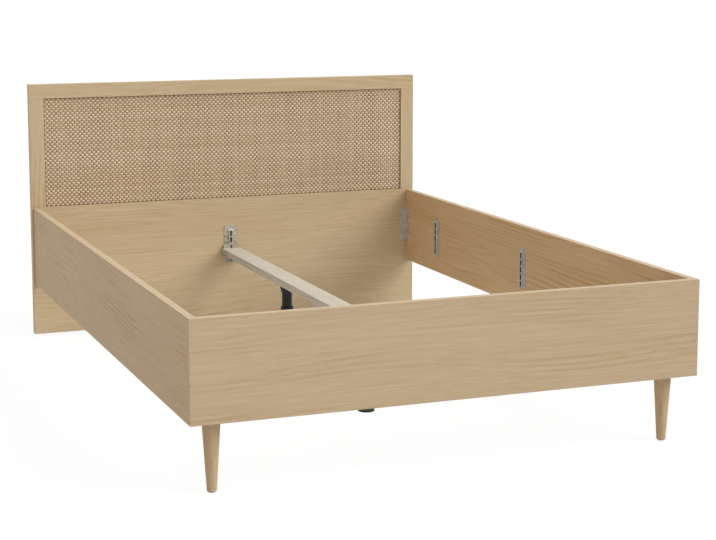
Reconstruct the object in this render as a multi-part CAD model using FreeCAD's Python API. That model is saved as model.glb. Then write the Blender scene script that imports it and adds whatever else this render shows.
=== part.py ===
import FreeCAD, Part
import math
import os

# Double bed frame with a framed rattan headboard, in millimetres.
# +X is to the right seen from the foot, +Y points to the head and +Z is up.
# The origin is on the floor, at the middle of the whole length and width.

# Bed frame
INSIDE_WIDTH = 1428.0          # between the side rails, for a mattress 1400 wide
INSIDE_LENGTH = 2028.0         # footboard to headboard, for a mattress 2000 long
BOARD_THICKNESS = 22.0
RAIL_HEIGHT = 275.0
LEG_HEIGHT = 195.0             # floor to the underside of the rails
EDGE_ROUND = 0.8               # eased edges of the laminated boards

# Headboard
HEAD_THICKNESS = 32.0
HEAD_OVERHANG = 6.0            # beyond the side rails, on each side
FRAME_WIDTH = 51.0             # top rail and stiles
WINDOW_RISE = 4.0              # rattan field above the side rails
WINDOW_HEIGHT = 390.0
LIP_DEPTH = 8.0                # front lip that the panel lies against
REBATE_WIDTH = 12.0
PANEL_THICKNESS = 6.0
PANEL_CLEARANCE = 1.0
WEAVE_THICKNESS = 3.0
WEAVE_CLEARANCE = 0.5
PANEL_ROW_SHARES = (-0.45, -0.27, -0.09, 0.09, 0.27, 0.45)
PANEL_SIDE_SHARES = (0.25, 0.75)
GLIDE_SHARES = (-0.31, -0.11, 0.11, 0.31)

# Wooden dowels
DOWEL_RADIUS = 4.0
DOWEL_LENGTH = 34.0
DOWEL_BITE = 12.0              # of a rail's dowel in the headboard or footboard
DOWEL_CHAMFER = 1.0
DOWEL_END_GAP = 1.0
STILE_DOWEL_SPACING = 20.0
RAIL_DOWEL_SHARE = 0.5         # of the way from a rail's edge to the corner angle

# Floor glides, one nail each
GLIDE_RADIUS = 9.0
HEAD_GLIDE_THICKNESS = 11.0
LEG_GLIDE_THICKNESS = 2.0
GLIDE_ROUND = 0.8
GLIDE_NAIL_RADIUS = 1.5
GLIDE_NAIL_LENGTH = 14.0

# Turned front legs, with the blocks that carry them
LEG_TOP_RADIUS = 25.0
LEG_FOOT_RADIUS = 12.8
LEG_FOOT_ROUND = 3.5
LEG_SIDE_INSET = 73.0          # leg axis from the rail's outer face
LEG_FRONT_INSET = 64.0         # leg axis from the footboard's front face
BLOCK_SIDE_MARGIN = 21.0       # beyond the leg, towards the middle of the bed
BLOCK_BACK_MARGIN = 5.0        # beyond the leg, towards the head
BLOCK_HEIGHT = 40.0
BLOCK_ROUND = 2.0
BLOCK_OUTER_SHARE = 0.28       # of the way from the rail to the leg's axis
BLOCK_INNER_SHARE = 0.67       # of the way from the leg's axis to the block's end
BLOCK_BACK_SHARE = 0.60        # of the way from the leg's axis to the block's back
BLOCK_FOOT_RISE_SHARE = 0.66
BLOCK_RAIL_RISE_SHARE = 0.28
BLOCK_SCREW_SEAT = 40.0        # wood between a screw's head and the board behind
BOLT_RADIUS = 4.0
BOLT_DOWN = 25.0
BOLT_UP = 16.0
INSERT_RADIUS = 6.0
INSERT_LENGTH = 18.0

# Screws
SCREW_FIT = 0.05               # around a shank in its hole
HEAD_RADIUS_SHARE = 2.0        # of the shank's radius
HEAD_HEIGHT_SHARE = 1.3
CROSS_LENGTH_SHARE = 1.1       # of the head's radius
CROSS_WIDTH_SHARE = 0.22
CROSS_DEPTH_SHARE = 0.6        # of the head's height
PANEL_SCREW_RADIUS = 1.5
PANEL_SCREW_BITE = 5.0         # a bite is the depth in the wood behind
PLATE_SCREW_RADIUS = 2.0
PLATE_SCREW_BITE = 14.0
ANGLE_SCREW_RADIUS = 2.2
ANGLE_SCREW_BITE = 14.5
SHOE_SCREW_RADIUS = 2.0
SHOE_SCREW_BITE = 17.5
BLOCK_SCREW_RADIUS = 2.5
BLOCK_SCREW_BITE = 14.0
COUNTERBORE_FIT = 0.5

# Corner angles
ANGLE_LEG = 25.0
ANGLE_SHEET = 2.5
ANGLE_HEIGHT = 124.0
ANGLE_RISE = 78.0              # above the underside of the rails
ANGLE_CORNER = 14.0
ANGLE_SCREW_MARGIN = 20.0

# Pressed plates with a slotted ridge, on the rails and at the beam's ends
PLATE_WIDTH = 50.0
PLATE_SHEET = 2.0
PLATE_CORNER = 4.0
STRIP_HEAD_SHARE = 0.88        # of half a rail plate's width, rounding of its upper corners
PLATE_TAB = 12.0               # flat end above the ridge
FLANGE_SCREW_SHARES = (0.14, 0.58, 0.74)
RIDGE_WIDTH = 20.0
RIDGE_BEND = 1.6
SLOT_COUNT = 5
SLOT_WIDTH = 12.0              # in the rail plates
HANGER_SLOT_WIDTH = 8.0        # in the beam plates
SLOT_HEIGHT = 20.0
SLOT_PITCH = 24.2
SLOT_ROUND = 1.0
SLOT_FOOT_MARGIN = 3.5         # below the lowest slot
SLOT_HEAD_MARGIN = 2.0         # above the highest slot, to the ridge's slope
GROOVE_DEPTH = 10.0            # routed into the board behind the slots
STRIP_RISE = 65.0              # rail plates above the underside of the rails
STRIP_PLACES = ("head", "middle", "foot")
STRIP_SHARES = (0.146, 0.495, 0.844)
HANGER_RISE = 34.0             # beam plates above the underside of the rails

# Shoes that hook into the beam plates
SHOE_SHEET = 2.5
SHOE_WIDTH = 60.0
SHOE_FIT = 0.3
SHOE_SLOT = 1                  # the lower of the two slots that it hooks into
SHELF_DEPTH = 60.0
SHELF_SCREW_SHARE = 0.5
EAR_HEIGHT = 24.0
UPRIGHT_RISE = 16.0            # above the beam
HOOK_ROOM = 1.5                # in the ridge's hollow, beside a hook
HOOK_DROP = 4.0
HOOK_WINDOW = 12.0

# Centre beam
BEAM_WIDTH = 70.0
BEAM_HEIGHT = 25.0
BEAM_ROUND = 2.0
BEAM_FIT = 0.5
SHELF_SCREW_SPACING = 36.0

# Adjustable centre legs under the beam
CENTRE_LEG_PLACES = ("head", "foot")
CENTRE_LEG_SHARES = (0.3205, 0.683)
TRAVEL = 20.0                  # of the foot, each way
CROWN_RADIUS = 25.0
CROWN_RIM = 3.0
CROWN_THICKNESS = 18.0         # solid end above the bore, for the stud
FLARE_RADIUS = 20.5
FLARE_HEIGHT = 23.0
NECK_START = 32.0              # where the flare meets the tube
TUBE_RADIUS = 17.25
TUBE_WALL = 3.25
GUIDE_HEIGHT = 10.0
GUIDE_FIT = 0.08
STOP_GAP = 0.5
KEY_WIDTH = 4.0
KEY_DEPTH = 1.6
KEY_FIT = 0.3
COLLAR_RADIUS = 21.3
COLLAR_HEIGHT = 12.0
COLLAR_ROUND = 1.0
COLLAR_NECK = 7.0              # part of the collar inside the tube
COLLAR_LIP_REACH = 1.0         # into the tube's wall
COLLAR_LIP_HEIGHT = 2.5
COLLAR_LIP_RISE = 3.0
COLLAR_FIT = 0.3
GRIP_COUNT = 18
GRIP_RADIUS = 1.4
SPINDLE_RADIUS = 11.0
SPINDLE_FIT = 0.05
SPINDLE_CHAMFER = 1.0
PAD_RADIUS = 25.0
PAD_RIM = 6.0
PAD_HEIGHT = 13.0
PAD_BOSS_RADIUS = 15.0
PAD_FLOOR = 4.0
PAD_ROUND = 1.5
STUD_RADIUS = 5.0
STUD_DOWN = 12.0
STUD_UP = 18.0

# One overrun for cuts that run out of a piece, and one tolerance for finding edges
OVERRUN = 1.0
TOLERANCE = 1e-6

# Places that follow from the sizes above
OUTER_WIDTH = INSIDE_WIDTH + 2 * BOARD_THICKNESS
HEAD_WIDTH = OUTER_WIDTH + 2 * HEAD_OVERHANG
TOTAL_LENGTH = BOARD_THICKNESS + INSIDE_LENGTH + HEAD_THICKNESS
FOOT_FRONT = -TOTAL_LENGTH / 2
FOOT_BACK = FOOT_FRONT + BOARD_THICKNESS
HEAD_FRONT = FOOT_BACK + INSIDE_LENGTH
HEAD_BACK = HEAD_FRONT + HEAD_THICKNESS
HEAD_MIDDLE = (HEAD_FRONT + HEAD_BACK) / 2
RAIL_TOP = LEG_HEIGHT + RAIL_HEIGHT
RAIL_INSIDE = INSIDE_WIDTH / 2
RAIL_OUTSIDE = OUTER_WIDTH / 2
RAIL_MIDDLE = (RAIL_INSIDE + RAIL_OUTSIDE) / 2
WINDOW_BOTTOM = RAIL_TOP + WINDOW_RISE
WINDOW_TOP = WINDOW_BOTTOM + WINDOW_HEIGHT
HEAD_TOP = WINDOW_TOP + FRAME_WIDTH
WINDOW_HALF = HEAD_WIDTH / 2 - FRAME_WIDTH
PANEL_FRONT = HEAD_FRONT + LIP_DEPTH
ANGLE_BOTTOM = LEG_HEIGHT + ANGLE_RISE
ANGLE_TOP = ANGLE_BOTTOM + ANGLE_HEIGHT
LEG_AXIS_X = RAIL_OUTSIDE - LEG_SIDE_INSET
LEG_AXIS_Y = FOOT_FRONT + LEG_FRONT_INSET
RIDGE_DEPTH = PLATE_SHEET + SHOE_SHEET + HOOK_ROOM
SLOTS_TOP = SLOT_FOOT_MARGIN + (SLOT_COUNT - 1) * SLOT_PITCH + SLOT_HEIGHT
RIDGE_LENGTH = SLOTS_TOP + SLOT_HEAD_MARGIN + RIDGE_DEPTH
PLATE_HEIGHT = RIDGE_LENGTH + PLATE_TAB
HANGER_BOTTOM = LEG_HEIGHT + HANGER_RISE
HOOK_EDGE = HANGER_BOTTOM + SLOT_FOOT_MARGIN + SHOE_SLOT * SLOT_PITCH
BEAM_BOTTOM = HOOK_EDGE + SHOE_SHEET
BEAM_TOP = BEAM_BOTTOM + BEAM_HEIGHT
SHOE_BACK = RIDGE_DEPTH + SHOE_FIT
SHOE_FRONT = SHOE_BACK + SHOE_SHEET
BORE_RADIUS = TUBE_RADIUS - TUBE_WALL
TUBE_LENGTH = CROWN_THICKNESS + GUIDE_HEIGHT + 2 * (TRAVEL + STOP_GAP) + COLLAR_NECK
TUBE_BOTTOM = BEAM_BOTTOM - TUBE_LENGTH
COLLAR_TOP = TUBE_BOTTOM - COLLAR_FIT
GUIDE_BOTTOM = TUBE_BOTTOM + COLLAR_NECK + STOP_GAP + TRAVEL
SIDES = {"left": -1, "right": 1}

VECTOR = FreeCAD.Vector
UP = VECTOR(0, 0, 1)
DOWN = VECTOR(0, 0, -1)

pieces = {}                    # node name to its solids
holes = {}                     # node name to the solids cut out of it


def add(node, *solids):
    """Adds solids to a node."""
    pieces.setdefault(node, []).extend(solids)


def drill(tool, *nodes):
    """Cuts a tool out of each named node."""
    for node in nodes:
        holes.setdefault(node, []).append(tool)


def box(x, y, z):
    """Block between the low and high end of each axis."""
    return Part.makeBox(x[1] - x[0], y[1] - y[0], z[1] - z[0], VECTOR(x[0], y[0], z[0]))


def eased_box(x, y, z, radius=EDGE_ROUND):
    """Block with all its edges eased."""
    block = box(x, y, z)
    return block.makeFillet(radius, block.Edges)


def centred(half):
    """Low and high end of a span about zero."""
    return (-half, half)


def span(first, second):
    """Low and high end of a span, whichever way round it is given."""
    return (min(first, second), max(first, second))


def rod(radius, start, end):
    """Cylinder from one point to another."""
    along = end - start
    return Part.makeCylinder(radius, along.Length, start, along)


def circles(shape):
    """Round edges of a shape."""
    return [edge for edge in shape.Edges if isinstance(edge.Curve, Part.Circle)]


def edges_at(shape, height):
    """Round edges of a shape at one height."""
    return [edge for edge in circles(shape) if abs(edge.BoundBox.Center.z - height) < TOLERANCE]


def turned(outline):
    """Solid turned about Z from points of radius and height."""
    points = [VECTOR(radius, 0, height) for radius, height in outline]
    face = Part.Face(Part.makePolygon(points + points[:1]))
    return face.revolve(VECTOR(), UP, 360)


def extruded(points, along):
    """Solid drawn from a closed outline along a vector."""
    return Part.Face(Part.makePolygon(points + points[:1])).extrude(along)


def facing(point, out):
    """Placement that turns +Z to a direction, at a point."""
    return FreeCAD.Placement(point, FreeCAD.Rotation(UP, out))


def placed(shape, placement):
    """Copy of a shape at a placement."""
    return shape.transformed(placement.toMatrix())


def mirrored(shape, side):
    """Shape made for the right side, on the side that is asked for."""
    return shape if side > 0 else shape.mirror(VECTOR(), VECTOR(1, 0, 0))


def turned_to(shape, end):
    """Shape made for the head, at the end that is asked for."""
    middle = VECTOR(0, (FOOT_BACK + HEAD_FRONT) / 2, 0)
    return shape if end == "head" else shape.mirror(middle, VECTOR(0, 1, 0))


def wall(end):
    """Place of an end board's inner face along Y, with the direction out of it."""
    return (HEAD_FRONT, -1) if end == "head" else (FOOT_BACK, 1)


def end_board(end):
    """Node of the board that closes an end of the bed."""
    return "headboard_lower_board" if end == "head" else "footboard"


def screw(radius, length):
    """Pan-headed screw with a cross recess, pointing down from a seat at the origin."""
    head = radius * HEAD_RADIUS_SHARE
    height = radius * HEAD_HEIGHT_SHARE
    profile = [(0, height), (head / 2, height), (head, height / 2), (head, 0), (radius, 0)]
    tip = [(radius, radius - length), (0, -length)]
    body = turned(profile + tip)
    arm = head * CROSS_LENGTH_SHARE / 2
    slit = head * CROSS_WIDTH_SHARE / 2
    depth = (height * (1 - CROSS_DEPTH_SHARE), height + radius)
    recess = box(centred(arm), centred(slit), depth).fuse(box(centred(slit), centred(arm), depth))
    return body.cut(recess)


def fasten(group, nodes, size, point, out):
    """Adds a screw of a radius and length to its group and drills its hole through the nodes."""
    radius, length = size
    placement = facing(point, out)
    add(group, placed(screw(radius, length), placement))
    hole = rod(radius + SCREW_FIT, VECTOR(0, 0, radius), VECTOR(0, 0, -length - SCREW_FIT))
    drill(placed(hole, placement), *nodes)


def dowel(group, nodes, start, end):
    """Adds a chamfered dowel to its group and drills its hole in the nodes."""
    pin = rod(DOWEL_RADIUS, start, end)
    add(group, pin.makeChamfer(DOWEL_CHAMFER, circles(pin)))
    gap = (end - start).normalize() * DOWEL_END_GAP
    drill(rod(DOWEL_RADIUS + SCREW_FIT, start - gap, end + gap), *nodes)


def floor_glide(group, node, x, y, thickness):
    """Adds a glide on the floor, with its nail in the piece above."""
    disc = Part.makeCylinder(GLIDE_RADIUS, thickness)
    disc = disc.makeFillet(GLIDE_ROUND, edges_at(disc, 0))
    foot = VECTOR(0, 0, thickness / 2)
    nail = rod(GLIDE_NAIL_RADIUS, foot, foot + UP * GLIDE_NAIL_LENGTH)
    place = FreeCAD.Placement(VECTOR(x, y, 0), FreeCAD.Rotation())
    add(group, placed(disc.fuse(nail), place))
    hole = rod(GLIDE_NAIL_RADIUS + SCREW_FIT, foot, foot + UP * (GLIDE_NAIL_LENGTH + DOWEL_END_GAP))
    drill(placed(hole, place), node)


def headboard():
    """Lower board, top rail and stiles round a rebated window, with the panel and the rattan in it."""
    half = HEAD_WIDTH / 2
    depth = (HEAD_FRONT, HEAD_BACK)
    frame = ["headboard_lower_board", "headboard_top_rail"]
    add("headboard_lower_board", eased_box(centred(half), depth, (HEAD_GLIDE_THICKNESS, WINDOW_BOTTOM)))
    add("headboard_top_rail", eased_box(centred(half), depth, (WINDOW_TOP, HEAD_TOP)))
    for name, side in SIDES.items():
        stile = f"headboard_{name}_stile"
        frame.append(stile)
        add(stile, eased_box(span(side * WINDOW_HALF, side * half), depth, (WINDOW_BOTTOM, WINDOW_TOP)))
        stile_dowels(stile, side)

    rebate = WINDOW_HALF + REBATE_WIDTH
    rebate_z = (WINDOW_BOTTOM - REBATE_WIDTH, WINDOW_TOP + REBATE_WIDTH)
    drill(box(centred(rebate), (PANEL_FRONT, HEAD_BACK + OVERRUN), rebate_z), *frame)
    panel_z = (rebate_z[0] + PANEL_CLEARANCE, rebate_z[1] - PANEL_CLEARANCE)
    panel_y = (PANEL_FRONT, PANEL_FRONT + PANEL_THICKNESS)
    add("headboard_back_panel", box(centred(rebate - PANEL_CLEARANCE), panel_y, panel_z))
    weave_z = (WINDOW_BOTTOM + WEAVE_CLEARANCE, WINDOW_TOP - WEAVE_CLEARANCE)
    weave_y = (PANEL_FRONT - WEAVE_THICKNESS, PANEL_FRONT)
    add("rattan_panel", box(centred(WINDOW_HALF - WEAVE_CLEARANCE), weave_y, weave_z))
    panel_screws(panel_y[1])
    for share in GLIDE_SHARES:
        x = share * HEAD_WIDTH
        floor_glide("headboard_glides", "headboard_lower_board", x, HEAD_MIDDLE, HEAD_GLIDE_THICKNESS)


def stile_dowels(stile, side):
    """Two dowels at each end of a stile, in the part beside the rebate."""
    middle = HEAD_WIDTH / 2 - (FRAME_WIDTH - REBATE_WIDTH) / 2
    for height, mate in ((WINDOW_BOTTOM, "headboard_lower_board"), (WINDOW_TOP, "headboard_top_rail")):
        for shift in centred(STILE_DOWEL_SPACING / 2):
            joint = VECTOR(side * (middle + shift), HEAD_MIDDLE, height)
            reach = UP * (DOWEL_LENGTH / 2)
            dowel("headboard_dowels", [stile, mate], joint - reach, joint + reach)


def panel_screws(back):
    """Screws round the edge of the back panel, into the front lip."""
    size = (PANEL_SCREW_RADIUS, PANEL_THICKNESS + PANEL_SCREW_BITE)
    out = VECTOR(0, 1, 0)
    inset = REBATE_WIDTH / 2
    rows = ((WINDOW_BOTTOM - inset, "headboard_lower_board"), (WINDOW_TOP + inset, "headboard_top_rail"))
    for height, mate in rows:
        for share in PANEL_ROW_SHARES:
            point = VECTOR(2 * share * WINDOW_HALF, back, height)
            fasten("headboard_panel_screws", ["headboard_back_panel", mate], size, point, out)
    for name, side in SIDES.items():
        for share in PANEL_SIDE_SHARES:
            point = VECTOR(side * (WINDOW_HALF + inset), back, WINDOW_BOTTOM + share * WINDOW_HEIGHT)
            nodes = ["headboard_back_panel", f"headboard_{name}_stile"]
            fasten("headboard_panel_screws", nodes, size, point, out)


def rails():
    """Footboard across the whole width, with the side rails between it and the headboard."""
    height = (LEG_HEIGHT, RAIL_TOP)
    add("footboard", eased_box(centred(RAIL_OUTSIDE), (FOOT_FRONT, FOOT_BACK), height))
    for name, side in SIDES.items():
        rail = f"{name}_side_rail"
        add(rail, eased_box(span(side * RAIL_INSIDE, side * RAIL_OUTSIDE), (FOOT_BACK, HEAD_FRONT), height))
        for end in ("head", "foot"):
            face, out = wall(end)
            low = LEG_HEIGHT + RAIL_DOWEL_SHARE * (ANGLE_BOTTOM - LEG_HEIGHT)
            high = RAIL_TOP - RAIL_DOWEL_SHARE * (RAIL_TOP - ANGLE_TOP)
            for z in (low, high):
                joint = VECTOR(side * RAIL_MIDDLE, face, z)
                along = VECTOR(0, out, 0)
                start = joint - along * DOWEL_BITE
                dowel("rail_dowels", [rail, end_board(end)], start, start + along * DOWEL_LENGTH)


def corner_angle():
    """Angle with rounded corners, its back edge on the Z axis and its legs along -X and -Y."""
    leg, sheet = -ANGLE_LEG, -ANGLE_SHEET
    corners = [(0, 0), (leg, 0), (leg, sheet), (sheet, sheet), (sheet, leg), (0, leg)]
    angle = extruded([VECTOR(x, y, 0) for x, y in corners], UP * ANGLE_HEIGHT)
    ends = [edge for edge in angle.Edges if abs(edge.Length - ANGLE_SHEET) < TOLERANCE]
    return angle.makeFillet(ANGLE_CORNER, ends)


def corner_angles():
    """Angles that join the rails to the headboard and the footboard, two screws in each leg."""
    size = (ANGLE_SCREW_RADIUS, ANGLE_SHEET + ANGLE_SCREW_BITE)
    middle = (ANGLE_LEG + ANGLE_SHEET) / 2
    corner = FreeCAD.Placement(VECTOR(RAIL_INSIDE, HEAD_FRONT, ANGLE_BOTTOM), FreeCAD.Rotation())
    shape = placed(corner_angle(), corner)
    for end in ("head", "foot"):
        face, out = wall(end)
        for name, side in SIDES.items():
            node = f"{end}_{name}_corner_angle"
            add(node, turned_to(mirrored(shape, side), end))
            for height in (ANGLE_BOTTOM + ANGLE_SCREW_MARGIN, ANGLE_TOP - ANGLE_SCREW_MARGIN):
                on_board = VECTOR(side * (RAIL_INSIDE - middle), face + out * ANGLE_SHEET, height)
                on_rail = VECTOR(side * (RAIL_INSIDE - ANGLE_SHEET), face + out * middle, height)
                fasten("corner_angle_screws", [node, end_board(end)], size, on_board, VECTOR(0, out, 0))
                fasten("corner_angle_screws", [node, f"{name}_side_rail"], size, on_rail, VECTOR(-side, 0, 0))


def front_legs():
    """Tapered legs on hanger bolts, under blocks in the corners behind the footboard."""
    for name, side in SIDES.items():
        leg, block = f"front_{name}_leg", f"{name}_leg_block"
        axis = VECTOR(side * LEG_AXIS_X, LEG_AXIS_Y, 0)
        taper = Part.makeCone(LEG_FOOT_RADIUS, LEG_TOP_RADIUS, LEG_HEIGHT - LEG_GLIDE_THICKNESS)
        taper = taper.makeFillet(LEG_FOOT_ROUND, edges_at(taper, 0))
        add(leg, placed(taper, FreeCAD.Placement(axis + UP * LEG_GLIDE_THICKNESS, FreeCAD.Rotation())))
        floor_glide("front_leg_glides", leg, axis.x, axis.y, LEG_GLIDE_THICKNESS)

        top = axis + UP * LEG_HEIGHT
        low, high = top - UP * BOLT_DOWN, top + UP * BOLT_UP
        add("front_leg_hanger_bolts", rod(BOLT_RADIUS, low, high))
        drill(rod(BOLT_RADIUS + SCREW_FIT, low - UP * DOWEL_END_GAP, top + UP * OVERRUN), leg)
        insert = rod(INSERT_RADIUS, top, top + UP * INSERT_LENGTH)
        bore = rod(BOLT_RADIUS + SCREW_FIT, top - UP * OVERRUN, top + UP * (INSERT_LENGTH + OVERRUN))
        add("leg_block_inserts", insert.cut(bore))
        seat = top + UP * (INSERT_LENGTH + DOWEL_END_GAP)
        drill(rod(INSERT_RADIUS + SCREW_FIT, top - UP * OVERRUN, seat), block)
        leg_block(name, side)


def leg_block(name, side):
    """Block in a front corner, screwed to the footboard and to the side rail."""
    block = f"{name}_leg_block"
    size = (BLOCK_SCREW_RADIUS, BLOCK_SCREW_SEAT + BLOCK_SCREW_BITE)
    inner = LEG_AXIS_X - LEG_TOP_RADIUS - BLOCK_SIDE_MARGIN
    back = LEG_AXIS_Y + LEG_TOP_RADIUS + BLOCK_BACK_MARGIN
    height = (LEG_HEIGHT, LEG_HEIGHT + BLOCK_HEIGHT)
    add(block, eased_box(span(side * inner, side * RAIL_INSIDE), (FOOT_BACK, back), height, BLOCK_ROUND))
    pocket = BLOCK_SCREW_RADIUS * HEAD_RADIUS_SHARE + COUNTERBORE_FIT
    outer_screw = RAIL_INSIDE - BLOCK_OUTER_SHARE * (RAIL_INSIDE - LEG_AXIS_X)
    inner_screw = LEG_AXIS_X - BLOCK_INNER_SHARE * (LEG_AXIS_X - inner)
    for x in (side * outer_screw, side * inner_screw):
        z = LEG_HEIGHT + BLOCK_FOOT_RISE_SHARE * BLOCK_HEIGHT
        seat = VECTOR(x, FOOT_BACK + BLOCK_SCREW_SEAT, z)
        fasten("leg_block_screws", [block, "footboard"], size, seat, VECTOR(0, 1, 0))
        drill(rod(pocket, seat, VECTOR(x, back + OVERRUN, z)), block)
    y = LEG_AXIS_Y + BLOCK_BACK_SHARE * (back - LEG_AXIS_Y)
    z = LEG_HEIGHT + BLOCK_RAIL_RISE_SHARE * BLOCK_HEIGHT
    seat = VECTOR(side * (RAIL_INSIDE - BLOCK_SCREW_SEAT), y, z)
    fasten("leg_block_screws", [block, f"{name}_side_rail"], size, seat, VECTOR(-side, 0, 0))
    drill(rod(pocket, seat, VECTOR(side * (inner - OVERRUN), y, z)), block)


def ridge_block(inset):
    """Ridge of a plate, open at its foot and sloped at its head, drawn in by a sheet's thickness."""
    depth = RIDGE_DEPTH - inset
    head = RIDGE_LENGTH - inset * math.sqrt(2)
    foot = -OVERRUN if inset else 0
    back = OVERRUN if inset else 0
    half = RIDGE_WIDTH / 2 - inset
    side = [(back, foot), (-depth, foot), (-depth, head - depth), (0, head), (back, head)]
    points = [VECTOR(-half, y, z) for y, z in (side if inset else side[:-1])]
    return extruded(points, VECTOR(2 * half, 0, 0))


def slotted_plate(head_round, slot_width):
    """Pressed plate with a hollow slotted ridge, on a wall at y = 0, its foot at z = 0."""
    plate = box(centred(PLATE_WIDTH / 2), (-PLATE_SHEET, 0), (0, PLATE_HEIGHT))
    for height, radius in ((0, PLATE_CORNER), (PLATE_HEIGHT, head_round)):
        short = [edge for edge in plate.Edges if abs(edge.Length - PLATE_SHEET) < TOLERANCE]
        corners = [edge for edge in short if abs(edge.BoundBox.Center.z - height) < TOLERANCE]
        plate = plate.makeFillet(radius, corners)
    ridge = ridge_block(0)
    front = [edge for edge in ridge.Edges if abs(edge.BoundBox.YMax + RIDGE_DEPTH) < TOLERANCE]
    bends = [edge for edge in front if edge.BoundBox.ZMax > TOLERANCE]
    ridge = ridge.makeFillet(RIDGE_BEND, bends)
    plate = plate.fuse(ridge).cut(ridge_block(PLATE_SHEET)).removeSplitter()
    for slot in range(SLOT_COUNT):
        foot = SLOT_FOOT_MARGIN + slot * SLOT_PITCH
        depth = (-RIDGE_DEPTH - OVERRUN, 0)
        hole = box(centred(slot_width / 2), depth, (foot, foot + SLOT_HEIGHT))
        corners = [edge for edge in hole.Edges if edge.BoundBox.YLength > RIDGE_DEPTH]
        plate = plate.cut(hole.makeFillet(SLOT_ROUND, corners))
    return plate


def fix_plate(node, board, group, placement, head_round, slot_width):
    """Places a slotted plate over its groove in the board, and the screws in its flanges."""
    add(node, placed(slotted_plate(head_round, slot_width), placement))
    width = centred(RIDGE_WIDTH / 2 - PLATE_SHEET)
    groove = box(width, (-OVERRUN, GROOVE_DEPTH), (SLOT_FOOT_MARGIN, SLOTS_TOP))
    drill(placed(groove, placement), board)
    flange = (PLATE_WIDTH + RIDGE_WIDTH) / 4
    size = (PLATE_SCREW_RADIUS, PLATE_SHEET + PLATE_SCREW_BITE)
    out = placement.Rotation.multVec(VECTOR(0, -1, 0))
    for share in FLANGE_SCREW_SHARES:
        for x in centred(flange):
            point = placement.multVec(VECTOR(x, -PLATE_SHEET, share * PLATE_HEIGHT))
            fasten(group, [node, board], size, point, out)


def slat_strips():
    """Slotted plates on the inner faces of the side rails, for the supports of a slatted base."""
    bottom = LEG_HEIGHT + STRIP_RISE
    head_round = STRIP_HEAD_SHARE * PLATE_WIDTH / 2
    for name, side in SIDES.items():
        turn = FreeCAD.Rotation(UP, -90 * side)
        for place, share in zip(STRIP_PLACES, STRIP_SHARES):
            spot = VECTOR(side * RAIL_INSIDE, HEAD_FRONT - share * INSIDE_LENGTH, bottom)
            placement = FreeCAD.Placement(spot, turn)
            strip, rail = f"{name}_{place}_slat_strip", f"{name}_side_rail"
            fix_plate(strip, rail, "slat_strip_screws", placement, head_round, SLOT_WIDTH)


def beam_hangers():
    """Slotted plates at both ends of the beam, with the shoes that hook into them."""
    for end in ("head", "foot"):
        face, out = wall(end)
        turn = FreeCAD.Rotation(UP, 0 if end == "head" else 180)
        placement = FreeCAD.Placement(VECTOR(0, face, HANGER_BOTTOM), turn)
        hanger = f"beam_{end}_hanger"
        fix_plate(hanger, end_board(end), "beam_hanger_screws", placement, PLATE_CORNER, HANGER_SLOT_WIDTH)
        shoe = f"beam_{end}_shoe"
        add(shoe, turned_to(beam_shoe(), end))
        for x in centred(SHELF_SCREW_SPACING / 2):
            reach = SHOE_FRONT + SHELF_SCREW_SHARE * SHELF_DEPTH
            point = VECTOR(x, face + out * reach, BEAM_BOTTOM - SHOE_SHEET)
            size = (SHOE_SCREW_RADIUS, SHOE_SHEET + SHOE_SCREW_BITE)
            fasten("beam_shoe_screws", [shoe, "centre_beam"], size, point, DOWN)


def beam_shoe():
    """Bent shoe at the head: an upright with two hooks, a shelf under the beam and an ear on each side."""
    base = BEAM_BOTTOM - SHOE_SHEET
    ear = BEAM_WIDTH / 2 + BEAM_FIT
    wide = ear + SHOE_SHEET
    sheet_y = (HEAD_FRONT - SHOE_FRONT, HEAD_FRONT - SHOE_BACK)
    shelf_y = (HEAD_FRONT - SHOE_FRONT - SHELF_DEPTH, HEAD_FRONT - SHOE_BACK)
    ear_z = (base, BEAM_BOTTOM + EAR_HEIGHT)
    shoe = box(centred(SHOE_WIDTH / 2), sheet_y, (base, BEAM_TOP + UPRIGHT_RISE))
    shoe = shoe.fuse([
        box(centred(wide), sheet_y, ear_z),
        box(centred(wide), shelf_y, (base, BEAM_BOTTOM)),
        box((ear, wide), shelf_y, ear_z),
        box((-wide, -ear), shelf_y, ear_z),
    ])
    hook = centred(HANGER_SLOT_WIDTH / 2 - SLOT_ROUND)
    lip_y = HEAD_FRONT - RIDGE_DEPTH + PLATE_SHEET + SHOE_FIT
    for edge in (HOOK_EDGE, HOOK_EDGE + SLOT_PITCH):
        top = edge + SHOE_SHEET
        shoe = shoe.fuse([
            box(hook, (sheet_y[0], lip_y + SHOE_SHEET), (edge, top)),
            box(hook, (lip_y, lip_y + SHOE_SHEET), (edge - HOOK_DROP, top)),
        ])
        window_y = (sheet_y[0] - OVERRUN, sheet_y[1])
        shoe = shoe.cut(box(hook, window_y, (top, top + HOOK_WINDOW)))
    return shoe.removeSplitter()


def centre_beam():
    """Beam along the middle of the bed, between the shoes."""
    ends = (FOOT_BACK + SHOE_FRONT + BEAM_FIT, HEAD_FRONT - SHOE_FRONT - BEAM_FIT)
    add("centre_beam", eased_box(centred(BEAM_WIDTH / 2), ends, (BEAM_BOTTOM, BEAM_TOP), BEAM_ROUND))


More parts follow.
